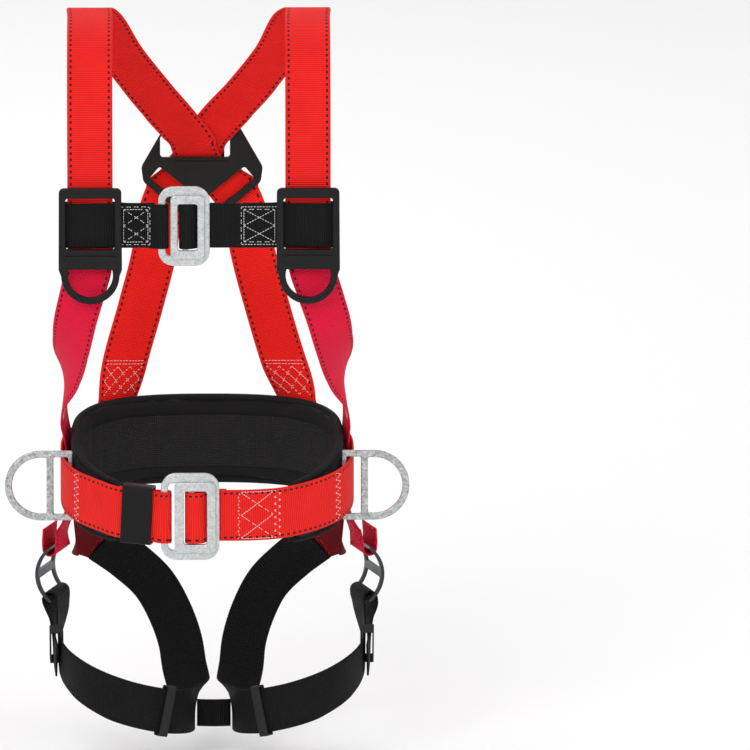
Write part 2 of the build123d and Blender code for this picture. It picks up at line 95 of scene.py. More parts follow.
# %% Shader sums written as Python
class Tap:
    """One output of a material's nodes. Sums on it add Math nodes."""

    def __init__(self, finish, socket):
        self.finish = finish
        self.socket = socket

    def sum(self, operation, *others):
        values = dict(enumerate((self, *others)))
        return self.finish.node("ShaderNodeMath", {"operation": operation}, values)

    def __add__(self, other):
        return self.sum("ADD", other)

    __radd__ = __add__

    def __mul__(self, other):
        return self.sum("MULTIPLY", other)

    __rmul__ = __mul__

    def __sub__(self, other):
        return self.sum("SUBTRACT", other)

    def __rsub__(self, other):
        return (self * -1.0) + other

    def __truediv__(self, other):
        return self.sum("DIVIDE", other)

    def __gt__(self, other):
        return self.sum("GREATER_THAN", other)

    def __lt__(self, other):
        return self.sum("LESS_THAN", other)

    def __abs__(self):
        return self.sum("ABSOLUTE")


print("sums a tap can do:",
      [name for name in vars(Tap) if name.startswith("__") and name != "__init__"])


# %% A material with one shader
class Finish:
    """A material with one Principled shader, and one method for any other node."""

    def __init__(self, name):
        self.material = bpy.data.materials.new(name)
        self.material.use_nodes = True
        self.tree = self.material.node_tree
        self.shader = self.tree.nodes["Principled BSDF"]

    def node(self, kind, settings, values, out=0):
        made = self.tree.nodes.new(kind)
        for key, value in settings.items():
            setattr(made, key, value)
        for key, value in values.items():
            self.feed(made.inputs[key], value)
        return Tap(self, made.outputs[out])

    def feed(self, socket, value):
        if isinstance(value, Tap):
            self.tree.links.new(value.socket, socket)
        else:
            socket.default_value = value

    def set(self, **values):
        for key, value in values.items():
            self.feed(self.shader.inputs[key.replace("_", " ")], value)

    def mix(self, factor, a, b):
        values = {0: factor, 6: a, 7: b}
        return self.node("ShaderNodeMix", {"data_type": "RGBA"}, values, 2)

    def place(self):
        return self.node("ShaderNodeTexCoord", {}, {}, 3)

    def parts(self, vector):
        split = self.node("ShaderNodeSeparateXYZ", {}, {0: vector})
        return [Tap(self, output) for output in split.socket.node.outputs]

    def noise(self, scale, detail=3.0):
        values = {"Vector": self.place(), "Scale": scale, "Detail": detail}
        return self.node("ShaderNodeTexNoise", {}, values)

    def bump(self, height, distance, strength=1.0):
        values = {"Height": height, "Distance": distance, "Strength": strength}
        self.set(Normal=self.node("ShaderNodeBump", {}, values))


print("finish methods:", [name for name in vars(Finish) if not name.startswith("_")])

# %% The pale bowl
BOWL_PROFILE = [(18.0, 0.0), (22.0, 0.4), (25.5, 1.9), (28.0, 4.6), (29.0, 8.5), (29.2, 13.0)]
BOWL_SIDES = 96
FLOOR_GAP = 0.03


def studio():
    floor_height = cad_box[0].z - FLOOR_GAP
    bowl = bmesh.new()
    rings = []
    for radius, height in BOWL_PROFILE:
        turns = [math.tau * k / BOWL_SIDES for k in range(BOWL_SIDES)]
        places = [(radius * math.cos(t), radius * math.sin(t), floor_height + height)
                  for t in turns]
        rings.append([bowl.verts.new(place) for place in places])
    bowl.faces.new(rings[0])
    for low, high in zip(rings, rings[1:]):
        for k in range(BOWL_SIDES):
            bowl.faces.new((low[k], low[k - 1], high[k - 1], high[k]))
    bmesh.ops.recalc_face_normals(bowl, faces=bowl.faces)
    mesh = bpy.data.meshes.new("studio_floor")
    bowl.to_mesh(mesh)
    mesh.shade_smooth()
    floor = bpy.data.objects.new("studio_floor", mesh)
    bpy.context.scene.collection.objects.link(floor)
    paint = Finish("pale floor")
    paint.set(Base_Color=(0.93, 0.93, 0.93, 1), Roughness=0.9, Specular_IOR_Level=0.1)
    mesh.materials.append(paint.material)


studio()
print("floor", FLOOR_GAP, "m below the lowest part")


# %% The lamps
def lamp(name, place, size, power):
    light = bpy.data.lights.new(name, "AREA")
    light.shape = "DISK"
    light.size = size
    light.energy = power
    holder = bpy.data.objects.new(name, light)
    holder.location = place
    holder.rotation_mode = "QUATERNION"
    holder.rotation_quaternion = (Vector((0, 0, 0.1)) - Vector(place)).to_track_quat("-Z", "Y")
    bpy.context.scene.collection.objects.link(holder)


lamp("front lamp", (-1.4, -3.4, 2.6), 2.4, 62)
lamp("side lamp", (3.2, -1.2, 2.4), 2.0, 22)
lamp("rear lamp", (-1.2, 3.4, 2.8), 2.2, 34)
world = bpy.data.worlds.new("studio air")
world.use_nodes = True
world.node_tree.nodes["Background"].inputs[0].default_value = (1, 1, 1, 1)
world.node_tree.nodes["Background"].inputs[1].default_value = 0.82
bpy.context.scene.world = world

# %% [markdown]
# ## Webbing cloth
#
# Harness webbing is woven narrow and thick. Heavy weft cords make ribs straight across it, about
# 2.2 mm apart, and fine warp yarns run along it. Near each edge of the red straps a black tracer
# yarn comes up for a few ribs and dives again. An image of webbing would blur close up, and ribs
# modelled one by one would be far too many faces, so a few sine waves make colour and bump. They
# read a UV map in metres: U is the distance from the strap's middle and V the distance along it.

# %% Woven finish
RIB = 0.0022
YARN = 0.0011
TRACER_STEP = 0.0062
TRACER_INSET = 0.0036
TRACER_HALF = 0.00105
TRACER_ON_TOP = 0.46


def webbing(name, bright, deep, half=0.0225, tracer=False, rough=0.66, gloss=0.16):
    cloth = Finish(name)
    across, along, _ = cloth.parts(cloth.node("ShaderNodeUVMap", {"uv_map": "webbing"}, {}))
    rib = (along * (math.tau / RIB)).sum("SINE") * 0.5 + 0.5
    yarn = (across * (math.tau / YARN) + (along * (math.pi / RIB)).sum("SINE") * 1.2).sum("SINE")
    height = rib.sum("POWER", 0.7) + yarn * 0.12
    worn = cloth.noise(38.0, 4.0)
    # The colour follows the ribs and yarns as well as the bump: the grooves are painted darker
    # toward the deep colour, painted shade, and the worn noise adds random tone.
    shade = (rib * 0.62 + yarn * 0.06 + worn * 0.55).sum("SUBTRACT", 0.12)
    colour = cloth.mix(shade.sum("MINIMUM", 1.0).sum("MAXIMUM", 0.0), (*deep, 1), (*bright, 1))
    if tracer:
        beside = abs(abs(across) - (half - TRACER_INSET)) < TRACER_HALF
        up = (along / TRACER_STEP).sum("FRACT") < TRACER_ON_TOP
        colour = cloth.mix(beside * up, colour, (0.012, 0.010, 0.010, 1))
    cloth.set(Base_Color=colour, Roughness=worn * 0.16 + (rough - 0.08), Specular_IOR_Level=gloss)
    cloth.bump(height, 0.00045, 0.85)
    return cloth.material


red = webbing("red webbing", (0.95, 0.018, 0.015), (0.60, 0.006, 0.005), tracer=True)
red_belt = webbing("red belt webbing", (0.95, 0.022, 0.016), (0.60, 0.007, 0.005), half=0.026,
                   tracer=True)
# This red is the back straps' own slightly deeper hue, made lighter than the front red to make up
# for the shade they sit in behind the body: painted light.
brightened_back_red = webbing("back strap webbing brightened against shade", (1.0, 0.016, 0.009), (0.72, 0.006, 0.004), tracer=True)
crimson = webbing("crimson webbing", (0.86, 0.005, 0.050), (0.54, 0.002, 0.028), tracer=True)
# The hip tabs show their inner face, which lies in shade: this crimson is darkened with painted
# shade.
shaded_crimson = webbing("hip tab webbing painted in shade", (0.22, 0.003, 0.010), (0.07, 0.001, 0.003))
black = webbing("black webbing", (0.0115, 0.0115, 0.0125), (0.0012, 0.0012, 0.0014), gloss=0.12)
print("webbing finishes:", [m.name for m in bpy.data.materials if "webbing" in m.name])

# %% [markdown]
# ## How a strap lies
#
# Each strap follows a short list of points, with the direction its width takes at each. A curve
# with a bevel would twist by a rule of its own, so the sections are placed here instead: a smooth
# curve goes through the points, and a flat section with soft edges stands every few millimetres.
# The points are the design program's, in millimetres, so the cloth lies where the part does.

# %% Curves through a strap's points
MM = 0.001
WEB = 2.4
WOVEN = 2.1
STEP = 4.0
STRAP_WIDTH = 45.0
BELT_WIDTH = 52.0
SIDES = {"r": -1, "l": 1}
UP = Vector((0, 0, 1))


WAIST_X = 3.0
LEAN = 0.026
LEAN_TOP = 290.0


def centre_x(height):
    """The harness leans a little: its middle at a height."""
    return WAIST_X - LEAN * min(height, LEAN_TOP)


def smooth(route):
    points = [Vector(point) for point, _ in route]
    across = [Vector(width) for _, width in route]
    spans = [(b - a).length for a, b in zip(points, points[1:])]
    slopes = [(b - a) / span for a, b, span in zip(points, points[1:], spans)]
    tangents = [slopes[0]]
    for i in range(1, len(points) - 1):
        mixed = slopes[i - 1] * spans[i] + slopes[i] * spans[i - 1]
        tangents.append(mixed / (spans[i - 1] + spans[i]))
    tangents.append(slopes[-1])
    stations = []
    for i, span in enumerate(spans):
        steps = max(2, round(span / STEP))
        for k in range(steps + (i == len(spans) - 1)):
            u = k / steps
            leave, arrive = u**3 - 2 * u**2 + u, u**3 - u**2
            point = points[i] * (2 * u**3 - 3 * u**2 + 1) + tangents[i] * (span * leave)
            point += points[i + 1] * (3 * u**2 - 2 * u**3) + tangents[i + 1] * (span * arrive)
            speed = (points[i + 1] - points[i]) * ((6 * u - 6 * u**2) / span)
            speed += tangents[i] * (3 * u**2 - 4 * u + 1) + tangents[i + 1] * (3 * u**2 - 2 * u)
            width = across[i] * (1 - u) + across[i + 1] * u
            stations.append((point, speed.normalized(), width.normalized()))
    return stations


def squared(stations):
    """Turns each width until it is square to the strap's run."""
    return [(p, d, (w - d * w.dot(d)).normalized()) for p, d, w in stations]


print("stations in a straight 100 mm:",
      len(smooth([((0, 0, 0), (1, 0, 0)), ((0, 0, 100), (1, 0, 0))])))


# %% Where a strap lies
class Strap:
    """Where a strap lies: a place on it is a distance along, a distance across and a lift."""

    def __init__(self, stations, width, thickness=WOVEN):
        self.width, self.thickness = width, thickness
        self.rows = []
        far = 0.0
        last = stations[0][0]
        for point, direction, across in stations:
            far += (point - last).length
            last = point
            ahead = direction - across * direction.dot(across)
            slant = direction.dot(across) / ahead.length
            out = ahead.cross(across).normalized()
            self.rows.append((far, point, across / ahead.length, out, slant))

    def at(self, far, across, lift):
        far = max(self.rows[0][0], min(self.rows[-1][0], far))
        for low, high in zip(self.rows, self.rows[1:]):
            if far <= high[0]:
                break
        t = (far - low[0]) / max(1e-9, high[0] - low[0])
        point, wide, out = (low[i].lerp(high[i], t) for i in (1, 2, 3))
        raised = self.thickness / 2 + abs(lift)
        return (point + wide * across + out * math.copysign(raised, lift)) * MM

    def nearest(self, x, y, z, after=0.0):
        """How far along the strap is closest to a point, past a distance."""
        rows = [row for row in self.rows if row[0] >= after]
        return min(rows, key=lambda row: (row[1] - Vector((x, y, z))).length)[0]


print("woven thickness:", WOVEN, "mm, inside webbing of", WEB, "mm")


# %% A strap's mesh
def weave(name, strap, material, body=None):
    """The closed mesh of a strap, with its UV map in metres, in place of the plain part."""
    half, thick = strap.width / 2, strap.thickness / 2
    inner = [-half + 1.2 + (strap.width - 2.4) * k / 8 for k in range(9)]
    side = [(-half, 0.0), (-half + 0.35, 0.72)] + [(a, 1.0) for a in inner]
    side += [(half - 0.35, 0.72), (half, 0.0)]
    loop = side + [(a, -h) for a, h in side[-2:0:-1]]
    shape = bmesh.new()
    uv = shape.loops.layers.uv.new("webbing")
    sections, marks = [], []
    for far, point, wide, out, slant in strap.rows:
        places = [(point + wide * a + out * (h * thick)) * MM for a, h in loop]
        sections.append([shape.verts.new(place) for place in places])
        marks.append([(a * MM, (far + a * slant) * MM) for a, _ in loop])
    count = len(loop)

    def face(corners):
        made = shape.faces.new([sections[i][k] for i, k in corners])
        made.smooth = True
        for corner, (i, k) in zip(made.loops, corners):
            corner[uv].uv = marks[i][k]

    for i in range(len(sections) - 1):
        for k in range(count):
            n = (k + 1) % count
            face([(i, k), (i, n), (i + 1, n), (i + 1, k)])
    last = len(sections) - 1
    for i in (0, last):
        caps = [[(i, k), (i, k + 1), (i, count - k - 1), (i, (count - k) % count)]
                for k in range(1, count // 2 - 1)]
        caps += [[(i, 0), (i, 1), (i, count - 1)],
                 [(i, count // 2 - 1), (i, count // 2), (i, count // 2 + 1)]]
        for cap in caps:
            face(cap)
    bmesh.ops.recalc_face_normals(shape, faces=shape.faces)
    mesh = bpy.data.meshes.new(f"woven_{name}")
    shape.to_mesh(mesh)
    mesh.materials.append(material)
    piece = bpy.data.objects.new(f"woven_{name}", mesh)
    bpy.context.scene.collection.objects.link(piece)
    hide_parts(name)
    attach(piece, body or body_of[name])
    return piece


print("weave makes a closed ribbon and rides it on the body of the part it replaces")

# %% [markdown]
# ## The waist
#
# The pad, the ring bars and the belt lie one outside the other on the same rounded square. The
# belt's two halves meet at the back and end at the buckle in front: one goes over the frame's
# outer bar and back, the other round the link's bar. One formula for the rounded square serves
# them all, which keeps the gaps between the layers even all the way round.

# %% Waist curves
PAD_HALF = (137.6, 109.8)
BELT_HALF = (PAD_HALF[0] + 8.2, PAD_HALF[1] + 8.2)
ROUNDNESS = 0.8
FRAME_BAR, FRAME_BACK, FRAME_THICKNESS = 7.0, 1.6, 3.2


def ring_point(angle, half_width, half_depth):
    sine, cosine = math.sin(math.radians(angle)), math.cos(math.radians(angle))
    x = math.copysign(abs(sine) ** ROUNDNESS, sine) * half_width
    y = -math.copysign(abs(cosine) ** ROUNDNESS, cosine) * half_depth
    return WAIST_X + x, y


def beside_pad(angle, out):
    x, y = ring_point(angle, *PAD_HALF)
    ahead = Vector((*ring_point(angle + 0.5, *PAD_HALF), 0))
    along = ahead - Vector((*ring_point(angle - 0.5, *PAD_HALF), 0))
    along.normalize()
    return Vector((x, y, 0)) + Vector((along.y, -along.x, 0)) * out, along


def belt_route(points):
    fronts = [-y / 116.8 for _, y in points]
    heights = [13.0 - 16.0 * f - 3.0 * f * f for f in fronts]
    return [((x, y, z), (0, 0, 1)) for (x, y), z in zip(points, heights)]


def over_bar(bar_left, web_y, tail):
    bar_middle = web_y - FRAME_BACK - FRAME_THICKNESS / 2
    radius = FRAME_THICKNESS / 2 + 0.4 + WEB / 2
    turn_x = bar_left + FRAME_BAR - 0.6
    turns = [math.radians(a) for a in (-90, -45, 0, 45, 90)]
    rise = [(bar_left - 11, web_y), (bar_left - 4, web_y - 4.6),
            (bar_left + 1, bar_middle - radius)]
    round_bar = [(turn_x + radius * math.cos(a), bar_middle + radius * math.sin(a)) for a in turns]
    return rise + round_bar + [(bar_left + 1, web_y + 0.6)] + tail


def round_link(frame_right, window_left, web_y):
    f, w = frame_right, window_left
    offsets = [(f + 10, 0.0), (f + 0.5, 0.0), (f - 3.0, -0.6), (f - 11.0, -6.7), (w + 8.0, -7.6),
               (w + 3.2, -6.7)]
    offsets += [(w + 2.2, -5.0), (w + 3.4, -3.0), (w + 8.0, -2.2), (w + 12.0, -2.0),
                (f - 3.5, 2.4)]
    offsets += [(f + 1.0, 2.8), (f + 14.0, 2.8)]
    return [(x, web_y + y) for x, y in offsets]


print("belt half width and depth:", BELT_HALF, "mm")

# %% Weave the belt
WAIST_Y = -118.0
turns = [-179.9, -165, -150, -135, -120, -105, -90, -75, -60, -46]
right_belt = [ring_point(a, *BELT_HALF) for a in turns] + [(-82, -110.6), (-66, -114.0)]
right_belt += over_bar(-43.0, WAIST_Y, [(-54.0, WAIST_Y + 2.9), (-66, -111.2), (-84, -107.2)])
left_belt = [ring_point(-a, *BELT_HALF) for a in turns] + [(72, -113.4), (48, -117.2)]
left_belt += round_link(8.0, -20.5, WAIST_Y)
straps = {
    "belt_r": Strap(smooth(belt_route(right_belt)), BELT_WIDTH),
    "belt_l": Strap(smooth(belt_route(left_belt)), BELT_WIDTH),
}
for name, strap in straps.items():
    weave(name, strap, red_belt)
    print(name, "is", round(strap.rows[-1][0]), "mm long")

# %% [markdown]
# ## Shoulders and back
#
# The shoulder straps rise straight up the chest, go over the shoulders and cross behind the
# plate. They come out of its slanted slots and spread to the belt, where each is sewn down. The
# two sides share their front points and have their own behind, because one passes over the other.

# %% Weave the shoulder and back straps
FLAT = (1, 0, 0)
SHOULDER_X = 108.0
top = centre_x(LEAN_TOP)
front = [(-108, 246), (-108, 290), (-108, 335), (-108, 380), (-99, 424), (-70, 463), (-30, 482),
         (2, 484)]
behind = {
    "r": [(-103, 26, 470), (-83, 54, 430), (-57, 74, 391), (-33, 87, 359), (-16.5, 95.5, 337),
          (-12, 98.5, 330), (-8.5, 103.5, 320), (-6, 107.4, 313), (-4.5, 108.4, 309)],
    "l": [(92, 27, 470), (74, 56, 430), (48, 77, 391), (22, 90.5, 359), (5, 98.5, 337),
          (0.5, 101.6, 330), (-4, 106.6, 320), (-8, 110.5, 313), (-10.5, 111.6, 309)],
}
lower_back = {
    "l": [(-4.2, 108.4, 308.6), (7, 108.4, 298), (26, 108.4, 281), (38, 108, 262),
          (44.5, 107, 240), (49, 105.5, 217), (63.5, 103, 161), (80, 100.5, 105)],
    "r": [(-10.8, 111.6, 308.6), (-17, 111.6, 298), (-31, 111.4, 281), (-40.5, 110.4, 262),
          (-46, 108.4, 240), (-49.5, 106, 217), (-63.5, 103, 161), (-79, 100.5, 105)],
}
for tag, side in SIDES.items():
    route = [((top + side * SHOULDER_X, y, z), FLAT) for y, z in front]
    route += [(point, FLAT) for point in behind[tag]]
    straps[f"shoulder_strap_{tag}"] = Strap(smooth(route), STRAP_WIDTH)
    foot, along = beside_pad(side * 140.0, 1.8)
    bowed = tuple(along * -1)
    route = [(point, FLAT) for point in lower_back[tag]]
    route += [((foot.x - side * 8, foot.y + 5.0, 68), bowed),
              ((foot.x - side * 1.5, foot.y + 0.6, 38), bowed)]
    route += [((foot.x, foot.y, 2), bowed)]
    straps[f"back_strap_{tag}"] = Strap(smooth(route), STRAP_WIDTH)
    weave(f"shoulder_strap_{tag}", straps[f"shoulder_strap_{tag}"], red)
    # The back straps take the red made lighter against their shade, painted light.
    weave(f"back_strap_{tag}", straps[f"back_strap_{tag}"], brightened_back_red)
print("shoulder straps:", round(straps["shoulder_strap_r"].rows[-1][0]), "mm each")

# %% [markdown]
# ## Sides and legs
#
# A crimson strap starts behind each chest plate, turns back round the ribs and goes under the
# belt to the leg buckle. The black leg strap runs from that buckle round the thigh, between the
# legs and up behind to the hip. Draping them as cloth would move them off the buckles, so both
# are set by points, given for one side and mirrored.


# %% Weave the side straps
def mirrored(side, points):
    return [((centre_x(z) + side * x, y, z), (-side * wx, wy, wz))
            for (x, y, z), (wx, wy, wz) in points]


def bend(centre, outward, radius, start, stop, across, count=9):
    turned = [math.radians(start + (stop - start) * k / (count - 1)) for k in range(count)]
    return [(centre + outward * (radius * math.cos(a)) + UP * (radius * math.sin(a)), across)
            for a in turned]


LEG_TURN = math.radians(17.0)
LEG_BEND = 6.6
LEG_BAR_OUT, LEG_BAR_UP = 1.3, 25.3
ribs = [
    ((108, -104.9, 288), (-1, 0, 0)), ((108.1, -104.9, 266), (-1, 0, 0)),
    ((109.5, -104.9, 246), (-1, 0, 0)), ((116.3, -103.5, 222), (-1, 0.2, 0)),
    ((126.2, -94, 186), (-0.9, 0.45, 0)), ((131.8, -72, 156), (-0.7, 0.7, 0)),
    ((136.0, -42, 128), (-0.45, 0.9, 0)), ((139.4, -8, 98), (0, 1, 0)),
    ((141.4, 16, 66), (0.12, 1, 0)),
]
hip = [((142.2, 21.5, -42), (0.2, 1, 0)), ((146.5, 18.0, -54), (0.27, 1, 0))]
leg_frames = {}
for tag, side in SIDES.items():
    middle = Vector((centre_x(-91.0) + side * 153.0, 15.0, -91.0))
    outward = Vector((side * math.cos(LEG_TURN), math.sin(LEG_TURN), 0))
    across = Vector((-side * math.sin(LEG_TURN), math.cos(LEG_TURN), 0))
    leg_frames[tag] = (middle, outward, across)
    waist, along = beside_pad(side * 98.6, 1.9)
    bar = middle + outward * LEG_BAR_OUT + UP * LEG_BAR_UP
    route = mirrored(side, ribs) + [((waist.x, waist.y, z), along * side) for z in (32, 6, -22)]
    route += mirrored(side, hip) + bend(bar, outward, LEG_BEND, 180, 360, across)
    route.append((bar + outward * 6.2 + UP * 20, across))
    straps[f"side_strap_{tag}"] = Strap(squared(smooth(route)), STRAP_WIDTH)
    weave(f"side_strap_{tag}", straps[f"side_strap_{tag}"], crimson)
print("side straps:", round(straps["side_strap_r"].rows[-1][0]), "mm each")

# %% Weave the leg straps
UPRIGHT = (0, 0, 1)
tail = [((155.6, -30, -174.5), (0, -0.35, 0.94)), ((158.2, -12, -163), (0, -0.6, 0.8)),
        ((159.5, 4, -146), (-0.1, -0.9, 0.4)), ((160.8, 14, -128), (-0.29, -0.956, 0))]
thigh = [
    ((149.4, 13, -129), (-0.29, -0.956, 0)), ((152.5, 4, -145), (-0.1, -0.9, 0.4)),
    ((153.2, -10, -160), (0, -0.6, 0.8)), ((151.2, -27, -171.5), (0, -0.35, 0.94)),
    ((134.8, -58, -186), (0, -0.15, 1)), ((98.3, -80, -202), UPRIGHT),
    ((48.2, -70, -217), UPRIGHT), ((28, -46, -223), UPRIGHT), ((19.5, -14, -227), UPRIGHT),
    ((19.5, 12, -226), (0.35, 0, 0.94)), ((23.5, 33, -216), (0.85, 0, 0.5)),
    ((28.5, 50, -199), (1, 0, 0.12)), ((32, 62, -176), (0.94, 0, 0.33)),
    ((42.3, 75, -147), (0.91, 0, 0.41)), ((56.6, 80, -121), (0.79, 0, 0.62)),
    ((82.4, 74, -94), (0.64, 0, 0.77)), ((107, 58, -72), (0.56, 0, 0.82)),
]
hip_end = [((128, 43.5, -60), (0.5, 0.2, 0.82)), ((133.5, 28, -57), (0.1, 0.7, 0.7))]
for tag, side in SIDES.items():
    middle, outward, across = leg_frames[tag]
    bar = middle + outward * LEG_BAR_OUT - UP * LEG_BAR_UP
    over = bend(bar, outward, LEG_BEND, 0, 180, across * -1)
    stations = squared(smooth(mirrored(side, tail) + over + mirrored(side, thigh)))
    straps[f"leg_strap_{tag}"] = Strap(stations, STRAP_WIDTH)
    weave(f"leg_strap_{tag}", straps[f"leg_strap_{tag}"], black)
    lapped = [(point - direction.cross(width) * (side * 3.2), width)
              for point, direction, width in (stations[-5], stations[-1])]
    straps[f"hip_tab_{tag}"] = Strap(squared(smooth(lapped + mirrored(side, hip_end))),
                                     STRAP_WIDTH)
    # The hip tab wears the crimson darkened with painted shade.
    weave(f"hip_tab_{tag}", straps[f"hip_tab_{tag}"], shaded_crimson)
seat_x = centre_x(-235.0)
seat = [((seat_x + x, -2 + 0.006 * x * x, -235.0), UPRIGHT) for x in (-16.8, -8.4, 0, 8.4, 16.8)]
straps["seat_strap"] = Strap(squared(smooth(seat)), 28.0)
weave("seat_strap", straps["seat_strap"], black)
print("leg straps:", round(straps["leg_strap_r"].rows[-1][0]), "mm each")

# %% [markdown]
# ## Chest
#
# The black chest straps loop round the shoulder straps behind the plates and are sewn back on
# themselves. A short loop at the back holds the D-ring's bar. Each is one ribbon with its turns
# worked out from the bars it goes round, so the layers lie close without cutting into the metal.

# %% Weave the chest straps and the ring's loop
CHEST_Y, CHEST_REAR_Y, CHEST_Z = -111.2, -101.0, 286.5
chest_middle = centre_x(CHEST_Z)
turn_y, turn_radius = (CHEST_Y + CHEST_REAR_Y) / 2, (CHEST_REAR_Y - CHEST_Y) / 2
for tag, side in SIDES.items():
    loop = [(44, CHEST_Y + 2.8), (66, CHEST_Y + 2.8), (72, CHEST_Y + 3.2)]
    loop += [(84, CHEST_REAR_Y - 1.2), (91, CHEST_REAR_Y), (96, CHEST_REAR_Y)]
    angles = [math.radians(a) for a in (90, 50, 0, -50, -90)]
    loop += [(131.2 + turn_radius * math.cos(a), turn_y + turn_radius * math.sin(a))
             for a in angles]
    loop += [(100, CHEST_Y), (70, CHEST_Y)]
    points = [(chest_middle + side * x, y) for x, y in loop]
    points += over_bar(-45.0, CHEST_Y, []) if tag == "r" else round_link(-1.0, -25.75, CHEST_Y)
    route = [((x, y, CHEST_Z), UPRIGHT) for x, y in points]
    straps[f"chest_strap_{tag}"] = Strap(squared(smooth(route)), STRAP_WIDTH)
    weave(f"chest_strap_{tag}", straps[f"chest_strap_{tag}"], black)
bar = Vector((-1.5, 119.2, 299.0))
loop_route = [((bar.x, bar.y - 4.5, bar.z + 32), FLAT), ((bar.x, bar.y - 4.5, bar.z + 12), FLAT)]
loop_route += bend(bar, Vector((0, 1, 0)), 4.5, 180, 360, FLAT)
loop_route += [((bar.x, bar.y + 2.4, bar.z + 12), FLAT), ((bar.x, bar.y - 0.9, bar.z + 20), FLAT)]
loop_route += [((bar.x, bar.y - 1.3, bar.z + 31), FLAT)]
straps["dorsal_loop"] = Strap(smooth(loop_route), STRAP_WIDTH)
weave("dorsal_loop", straps["dorsal_loop"], black)
print("straps woven:", len(straps))

# %% [markdown]
# ## Sewing
#
# Load-bearing joints on a harness are sewn with thick thread in boxes, crosses and zigzags. A
# bump could only hint at them. Here every row is cut into short runs that follow the strap's
# face, and a Geometry Nodes tree sets one stitch after another along the runs. It needs only the
# pitch, the thread's thickness and its finish.


# %% A tree that sews along runs
STITCH_SHARE = 0.46  # half a stitch's length, as a share of the pitch


def sewing_tree():
    tree = bpy.data.node_groups.new("Sewn thread", "GeometryNodeTree")
    for label, kind in (("Runs", "Geometry"), ("Pitch", "Float"), ("Thread", "Float"),
                        ("Finish", "Material")):
        tree.interface.new_socket(label, in_out="INPUT", socket_type=f"NodeSocket{kind}")
    tree.interface.new_socket("Stitches", in_out="OUTPUT", socket_type="NodeSocketGeometry")

    def add(kind, **settings):
        made = tree.nodes.new(kind)
        for key, value in settings.items():
            setattr(made, key, value)
        return made

    given, result = add("NodeGroupInput"), add("NodeGroupOutput")
    points = add("GeometryNodeCurveToPoints", mode="LENGTH")
    bead = add("GeometryNodeMeshUVSphere")
    bead.inputs["Segments"].default_value = 6
    bead.inputs["Rings"].default_value = 4
    turned = add("FunctionNodeAlignRotationToVector", axis="Z")
    length = add("ShaderNodeMath", operation="MULTIPLY")
    length.inputs[1].default_value = STITCH_SHARE
    scale = add("ShaderNodeCombineXYZ")
    laid = add("GeometryNodeInstanceOnPoints")
    real = add("GeometryNodeRealizeInstances")
    smoothed = add("GeometryNodeSetShadeSmooth")
    coloured = add("GeometryNodeSetMaterial")
    wires = [
        (given.outputs["Runs"], points.inputs["Curve"]),
        (given.outputs["Pitch"], points.inputs["Length"]),
        (given.outputs["Pitch"], length.inputs[0]), (given.outputs["Thread"], scale.inputs[0]),
        (given.outputs["Thread"], scale.inputs[1]), (length.outputs[0], scale.inputs[2]),
        (points.outputs["Points"], laid.inputs["Points"]),
        (points.outputs["Tangent"], turned.inputs["Vector"]),
        (bead.outputs["Mesh"], laid.inputs["Instance"]),
        (turned.outputs[0], laid.inputs["Rotation"]),
        (scale.outputs[0], laid.inputs["Scale"]), (laid.outputs[0], real.inputs[0]),
        (real.outputs[0], smoothed.inputs[0]), (smoothed.outputs[0], coloured.inputs["Geometry"]),
        (given.outputs["Finish"], coloured.inputs["Material"]),
        (coloured.outputs[0], result.inputs[0]),
    ]
    for start, end in wires:
        tree.links.new(start, end)
    return tree


sewing = sewing_tree()
print("sewing tree:", len(sewing.nodes), "nodes")


# %% Lay the thread
def thread_finish(name, colour):
    thread = Finish(name)
    fuzz = thread.noise(2600.0, 2.0)
    thread.set(Base_Color=thread.mix(fuzz, (*[c * 0.72 for c in colour], 1), (*colour, 1)),
               Roughness=0.6)
    thread.bump(fuzz, 0.0001, 0.5)
    return thread.material


white_thread = thread_finish("white thread", (0.80, 0.79, 0.77))
red_thread = thread_finish("red thread", (0.62, 0.02, 0.015))


def sew(name, runs, body, material=None, pitch=3.0, thread=0.42):
    """One mesh of stitches along straight runs, each a pair of points in metres."""
    line = bpy.data.curves.new(name, "CURVE")
    line.dimensions = "3D"
    for start, end in runs:
        inset = (end - start).normalized() * (pitch * MM / 2)
        spline = line.splines.new("POLY")
        spline.points.add(1)
        spline.points[0].co = (*(start + inset), 1)
        spline.points[1].co = (*(end - inset), 1)
    seam = bpy.data.objects.new(f"{name}_line", line)
    bpy.context.scene.collection.objects.link(seam)
    modifier = seam.modifiers.new("Sewn thread", "NODES")
    modifier.node_group = sewing
    given = {"Pitch": pitch * MM, "Thread": thread * MM, "Finish": material or white_thread}
    for socket in sewing.interface.items_tree:
        if socket.name in given:
            modifier[socket.identifier] = given[socket.name]
    evaluated = seam.evaluated_get(bpy.context.evaluated_depsgraph_get())
    mesh = bpy.data.meshes.new_from_object(evaluated)
    mesh.name = name
    bpy.data.objects.remove(seam)
    piece = bpy.data.objects.new(name, mesh)
    bpy.context.scene.collection.objects.link(piece)
    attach(piece, body)
    return piece


print("threads:", white_thread.name, "and", red_thread.name)

# %% Runs that follow a strap
THREAD_LIFT = 0.12
RUN_LENGTH = 8.0


def chain(points):
    """Each point with the one after it."""
    return list(zip(points, points[1:]))


def lay(strap, start, stop, lift):
    """Short runs that follow the strap's face between two (along, across) places."""
    steps = max(1, round(math.dist(start, stop) / RUN_LENGTH))
    places = [[a + (b - a) * k / steps for a, b in zip(start, stop)] for k in range(steps + 1)]
    return chain([strap.at(far, across, lift) for far, across in places])


